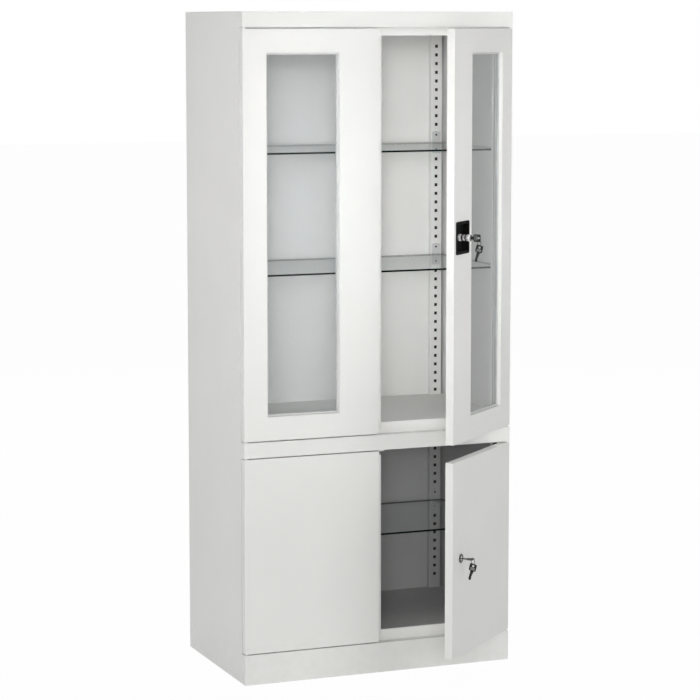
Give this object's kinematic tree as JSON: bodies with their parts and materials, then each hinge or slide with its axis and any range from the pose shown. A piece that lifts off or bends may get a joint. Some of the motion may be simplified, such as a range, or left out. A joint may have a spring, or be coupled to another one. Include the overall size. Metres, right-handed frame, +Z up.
{
  "type": "glass door medical cabinet",
  "caption": "Tall steel storage cabinet with glazed double doors above, plain double doors below, glass shelves on hooked brackets, and rod locks with keys.",
  "frame": {"origin": "on the floor, in the middle of the foot flange under the plinth", "axes": "+X to the right seen from the front, +Y to the back, +Z up"},
  "size_m": [0.7829, 0.7312, 1.8],
  "materials": {
    "white_coat": "white powder coat, satin",
    "clear_glass": "clear float glass with ground edges",
    "galvanised_steel": "zinc plated",
    "chrome": "bright chrome plate",
    "key_steel": "nickel plated, worn bright",
    "black_plastic": "black, half gloss",
    "grey_rubber": "pale grey glazing rubber"
  },
  "bodies": {
    "carcass": {"top_cover": "white_coat", "middle_crossbar": "white_coat", "plinth_front": "white_coat", "back_panel": "white_coat", "middle_floor": "white_coat", "bottom_floor": "white_coat", "left_side_panel": "white_coat", "right_side_panel": "white_coat", "upright_front_left": "white_coat", "upright_rear_left": "white_coat", "upright_front_right": "white_coat", "upright_rear_right": "white_coat", "glass_shelf_top": "clear_glass", "glass_shelf_middle": "clear_glass", "glass_shelf_lower": "clear_glass", "bracket_top_front_left": "white_coat", "bracket_top_rear_left": "white_coat", "bracket_top_front_right": "white_coat", "bracket_top_rear_right": "white_coat", "bracket_middle_front_left": "white_coat", "bracket_middle_rear_left": "white_coat", "bracket_middle_front_right": "white_coat", "bracket_middle_rear_right": "white_coat", "bracket_lower_front_left": "white_coat", "bracket_lower_rear_left": "white_coat", "bracket_lower_front_right": "white_coat", "bracket_lower_rear_right": "white_coat", "pivot_pin_top_left": "galvanised_steel", "pivot_pin_top_right": "galvanised_steel", "pivot_pin_middle_left": "galvanised_steel", "pivot_pin_middle_right": "galvanised_steel", "pivot_pin_bottom_left": "galvanised_steel", "pivot_pin_bottom_right": "galvanised_steel"},
    "upper_left_door": {"upper_left_door_leaf": "white_coat", "upper_left_gasket": "grey_rubber", "upper_left_pane": "clear_glass", "upper_meeting_strip": "white_coat"},
    "lower_left_door": {"lower_left_door_leaf": "white_coat", "lower_meeting_strip": "white_coat"},
    "upper_right_door": {"upper_right_door_leaf": "white_coat", "upper_right_gasket": "grey_rubber", "upper_right_pane": "clear_glass", "upper_lock_cup": "black_plastic", "upper_lock_case": "galvanised_steel"},
    "lower_right_door": {"lower_right_door_leaf": "white_coat", "lower_lock_barrel": "chrome", "lower_lock_case": "galvanised_steel"},
    "upper_knob": {"upper_lock_knob": "chrome", "upper_lock_key": "key_steel"},
    "lower_plug": {"lower_lock_plug": "chrome", "lower_lock_key": "key_steel"},
    "upper_spare": {"upper_key_ring": "key_steel", "upper_spare_key": "key_steel"},
    "lower_spare": {"lower_key_ring": "key_steel", "lower_spare_key": "key_steel"},
    "upper_top_rod": {"upper_door_top_rod": "galvanised_steel"},
    "upper_bottom_rod": {"upper_door_bottom_rod": "galvanised_steel"},
    "lower_top_rod": {"lower_door_top_rod": "galvanised_steel"},
    "lower_bottom_rod": {"lower_door_bottom_rod": "galvanised_steel"}
  },
  "joints": [
    {"name": "upper_left_door_swing", "type": "hinge", "parent": "carcass", "child": "upper_left_door", "pos_m": [-0.382, -0.012, 1.2085], "axis": [0, 0, -1], "range_deg": [0, 110]},
    {"name": "lower_left_door_swing", "type": "hinge", "parent": "carcass", "child": "lower_left_door", "pos_m": [-0.382, -0.012, 0.3495], "axis": [0, 0, -1], "range_deg": [0, 110]},
    {"name": "upper_right_door_swing", "type": "hinge", "parent": "carcass", "child": "upper_right_door", "pos_m": [0.382, -0.012, 1.2085], "axis": [0, 0, 1], "range_deg": [-42, 68]},
    {"name": "lower_right_door_swing", "type": "hinge", "parent": "carcass", "child": "lower_right_door", "pos_m": [0.382, -0.012, 0.3495], "axis": [0, 0, 1], "range_deg": [-42, 68]},
    {"name": "upper_lock_turn", "type": "hinge", "parent": "upper_right_door", "child": "upper_knob", "pos_m": [0.14472, -0.23642, 1.2085], "axis": [-0.6691, 0.7431, 0], "range_deg": [0, 90]},
    {"name": "upper_spare_swing", "type": "hinge", "parent": "upper_knob", "child": "upper_spare", "pos_m": [0.1755, -0.2706, 1.2085], "axis": [-0.7431, -0.6691, 0], "range_deg": [-20, 45]},
    {"name": "upper_top_rod_slide", "type": "slide", "parent": "upper_right_door", "child": "upper_top_rod", "axis": [0, 0, 1], "range_m": [0, 0.00942]},
    {"name": "upper_bottom_rod_slide", "type": "slide", "parent": "upper_right_door", "child": "upper_bottom_rod", "axis": [0, 0, -1], "range_m": [0, 0.00942]},
    {"name": "lower_lock_turn", "type": "hinge", "parent": "lower_right_door", "child": "lower_plug", "pos_m": [0.14472, -0.23642, 0.3495], "axis": [-0.6691, 0.7431, 0], "range_deg": [0, 90]},
    {"name": "lower_spare_swing", "type": "hinge", "parent": "lower_plug", "child": "lower_spare", "pos_m": [0.16546, -0.25945, 0.3495], "axis": [-0.7431, -0.6691, 0], "range_deg": [-20, 14]},
    {"name": "lower_top_rod_slide", "type": "slide", "parent": "lower_right_door", "child": "lower_top_rod", "axis": [0, 0, 1], "range_m": [0, 0.00942]},
    {"name": "lower_bottom_rod_slide", "type": "slide", "parent": "lower_right_door", "child": "lower_bottom_rod", "axis": [0, 0, -1], "range_m": [0, 0.00942]}
  ],
  "couplings": [
    {"joint": "upper_lock_turn", "follows": "upper_top_rod_slide", "rad_per_m": 166.67},
    {"joint": "upper_bottom_rod_slide", "follows": "upper_top_rod_slide", "ratio": 1},
    {"joint": "lower_lock_turn", "follows": "lower_top_rod_slide", "rad_per_m": 166.67},
    {"joint": "lower_bottom_rod_slide", "follows": "lower_top_rod_slide", "ratio": 1}
  ]
}
